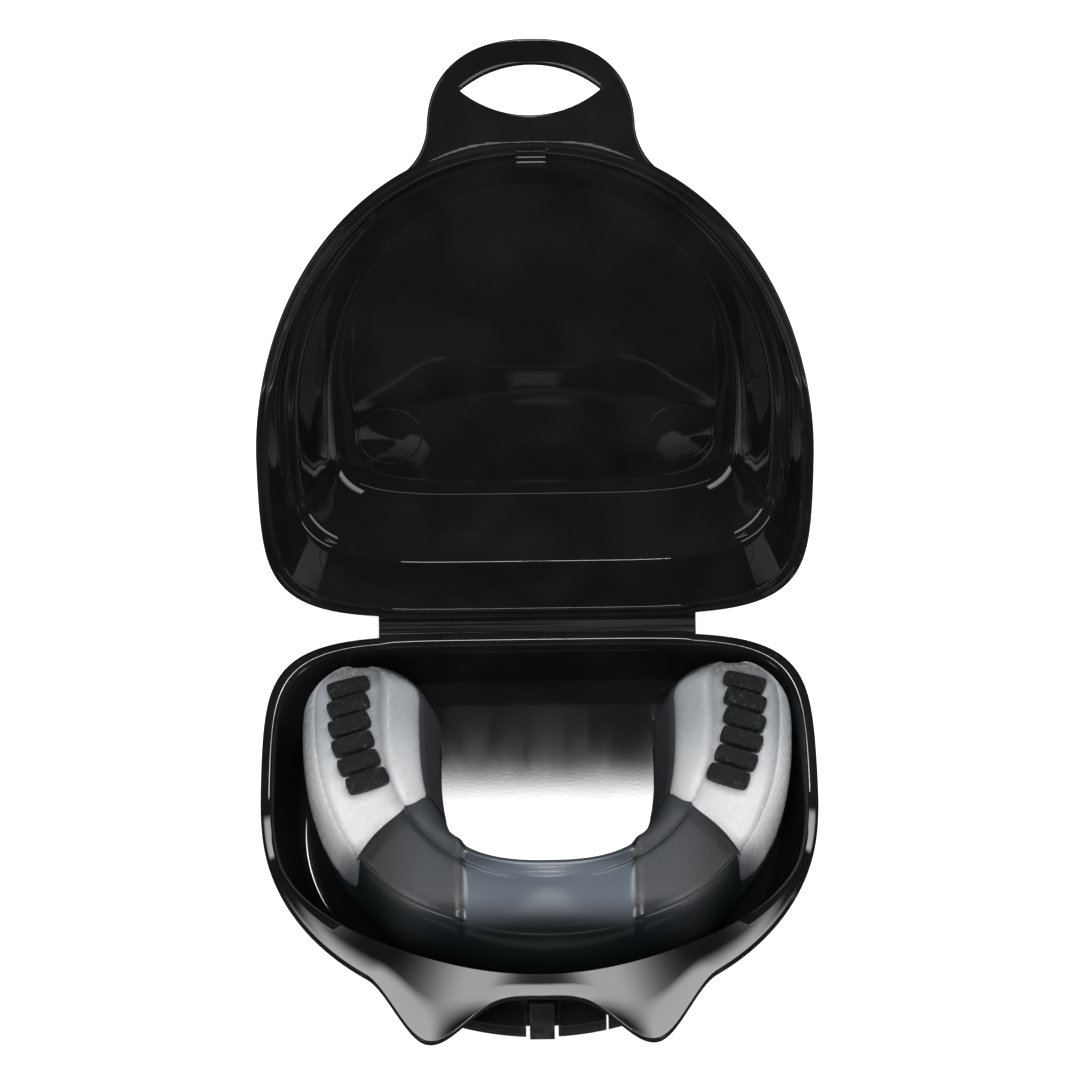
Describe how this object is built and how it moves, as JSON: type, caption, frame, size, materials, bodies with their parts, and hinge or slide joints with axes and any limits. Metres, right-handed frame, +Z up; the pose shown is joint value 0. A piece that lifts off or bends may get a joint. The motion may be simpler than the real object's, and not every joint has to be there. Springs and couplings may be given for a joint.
{
  "type": "mouthguard with case",
  "caption": "Boxing mouthguard with clear arms, smoky front shell and textured bite pads, in a black hinged carry case with a finger loop.",
  "frame": {"origin": "middle of the flat face that the base of the case stands on", "axes": "+Z up from the rest face, +Y towards the hinge, -Y towards the latch, +X to the right seen from the latch side"},
  "size_m": [0.078, 0.1293, 0.0765],
  "materials": {
    "case_plastic": "glossy moulded polypropylene",
    "hinge_plastic": "thin flexing polypropylene, fine creases",
    "clear_gel": "milky translucent EVA, satin",
    "smoke_shell": "smoky translucent shell, satin to gloss",
    "pad_rubber": "black, grained"
  },
  "bodies": {
    "base": {"base_tray": "case_plastic", "front_skirt": "case_plastic"},
    "tongue": {"latch_tongue": "case_plastic"},
    "strip": {"hinge_strip": "hinge_plastic"},
    "lid": {"lid_shell": "case_plastic", "carry_loop": "case_plastic", "lid_catch": "case_plastic"},
    "guard": {"guard_liner": "clear_gel", "guard_shell": "smoke_shell", "bite_pad_left_1": "pad_rubber", "bite_pad_left_2": "pad_rubber", "bite_pad_left_3": "pad_rubber", "bite_pad_left_4": "pad_rubber", "bite_pad_left_5": "pad_rubber", "bite_pad_left_6": "pad_rubber", "bite_pad_right_1": "pad_rubber", "bite_pad_right_2": "pad_rubber", "bite_pad_right_3": "pad_rubber", "bite_pad_right_4": "pad_rubber", "bite_pad_right_5": "pad_rubber", "bite_pad_right_6": "pad_rubber"}
  },
  "joints": [
    {"name": "lid_swing", "type": "hinge", "parent": "base", "child": "strip", "pos_m": [0, 0.027, 0.0092], "axis": [-1, 0, 0], "range_deg": [-58, 14]},
    {"name": "lid_fold", "type": "hinge", "parent": "strip", "child": "lid", "pos_m": [0, 0.0292, 0.01058], "axis": [-1, 0, 0], "range_deg": [-58, 14]},
    {"name": "tongue_flex", "type": "hinge", "parent": "base", "child": "tongue", "pos_m": [0, -0.0391, 0.0124], "axis": [-1, 0, 0], "range_deg": [-1, 2], "stiffness_Nm_per_rad": 0.5},
    {"name": "guard_lift", "type": "slide", "parent": "base", "child": "guard", "axis": [0, 0, 1], "range_m": [0, 0.1]}
  ]
}
